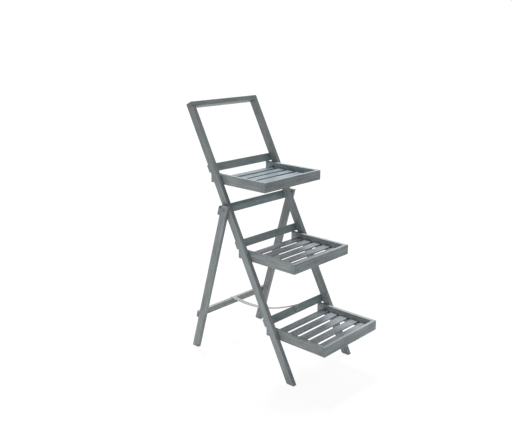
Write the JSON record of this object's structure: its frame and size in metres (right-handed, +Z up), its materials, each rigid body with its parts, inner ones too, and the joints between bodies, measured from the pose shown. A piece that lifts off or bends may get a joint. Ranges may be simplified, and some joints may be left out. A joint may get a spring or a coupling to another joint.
{
  "type": "plant ladder stand",
  "caption": "Folding plant stand: a leaning ladder frame with slatted trays that fold up into it, propped by a hinged rear frame with a slack strap.",
  "frame": {"origin": "bottom centre of the bounding box of the open stand, on the floor", "axes": "+Z up, -Y the front where the trays reach out, +X to the right of someone facing the front"},
  "size_m": [0.4416, 0.7406, 1.0904],
  "materials": {
    "frame_timber": "grey-blue wash over open grain, matt",
    "slat_timber": "grey-blue wash over open grain, matt",
    "dowel": "plain beech, glued in",
    "hardware": "zinc plated, dull",
    "webbing": "flat woven webbing, pale grey"
  },
  "bodies": {
    "ladder": {"left_stile": "frame_timber", "right_stile": "frame_timber", "top_rail": "frame_timber", "top_rail_dowels": "dowel", "bottom_batten": "frame_timber", "middle_batten": "frame_timber", "top_batten": "frame_timber", "batten_screws": "hardware", "stile_inserts": "hardware", "leg_pivot_bolts": "hardware", "leg_pivot_washers": "hardware", "tray_pivot_bolts": "hardware", "tray_pivot_washers": "hardware", "strap": "webbing", "strap_front_screw": "hardware", "strap_front_washer": "hardware"},
    "rear_frame": {"left_leg": "frame_timber", "right_leg": "frame_timber", "stop_batten": "frame_timber", "rear_rail": "frame_timber", "rear_frame_screws": "hardware", "strap_rear_screw": "hardware", "strap_rear_washer": "hardware"},
    "bottom_tray": {"bottom_tray_left_side": "frame_timber", "bottom_tray_right_side": "frame_timber", "bottom_tray_front_board": "frame_timber", "bottom_tray_left_cleat": "frame_timber", "bottom_tray_right_cleat": "frame_timber", "bottom_tray_screws": "hardware", "bottom_tray_dowels": "dowel", "bottom_tray_slat_1": "slat_timber", "bottom_tray_slat_2": "slat_timber", "bottom_tray_slat_3": "slat_timber", "bottom_tray_slat_4": "slat_timber", "bottom_tray_slat_5": "slat_timber"},
    "middle_tray": {"middle_tray_left_side": "frame_timber", "middle_tray_right_side": "frame_timber", "middle_tray_front_board": "frame_timber", "middle_tray_left_cleat": "frame_timber", "middle_tray_right_cleat": "frame_timber", "middle_tray_screws": "hardware", "middle_tray_dowels": "dowel", "middle_tray_slat_1": "slat_timber", "middle_tray_slat_2": "slat_timber", "middle_tray_slat_3": "slat_timber", "middle_tray_slat_4": "slat_timber", "middle_tray_slat_5": "slat_timber"},
    "top_tray": {"top_tray_left_side": "frame_timber", "top_tray_right_side": "frame_timber", "top_tray_front_board": "frame_timber", "top_tray_left_cleat": "frame_timber", "top_tray_right_cleat": "frame_timber", "top_tray_screws": "hardware", "top_tray_dowels": "dowel", "top_tray_slat_1": "slat_timber", "top_tray_slat_2": "slat_timber", "top_tray_slat_3": "slat_timber", "top_tray_slat_4": "slat_timber", "top_tray_slat_5": "slat_timber"}
  },
  "joints": [
    {"name": "rear_frame_fold", "type": "hinge", "parent": "ladder", "child": "rear_frame", "pos_m": [0, 0.1355, 0.66794], "axis": [-1, 0, 0], "range_deg": [0, 39], "deforming": ["strap"]},
    {"name": "bottom_tray_fold", "type": "hinge", "parent": "ladder", "child": "bottom_tray", "pos_m": [0, -0.11778, 0.19159], "axis": [-1, 0, 0], "range_deg": [0, 118]},
    {"name": "middle_tray_fold", "type": "hinge", "parent": "ladder", "child": "middle_tray", "pos_m": [0, 0.0409, 0.49003], "axis": [-1, 0, 0], "range_deg": [0, 118]},
    {"name": "top_tray_fold", "type": "hinge", "parent": "ladder", "child": "top_tray", "pos_m": [0, 0.19958, 0.78847], "axis": [-1, 0, 0], "range_deg": [0, 118]}
  ]
}
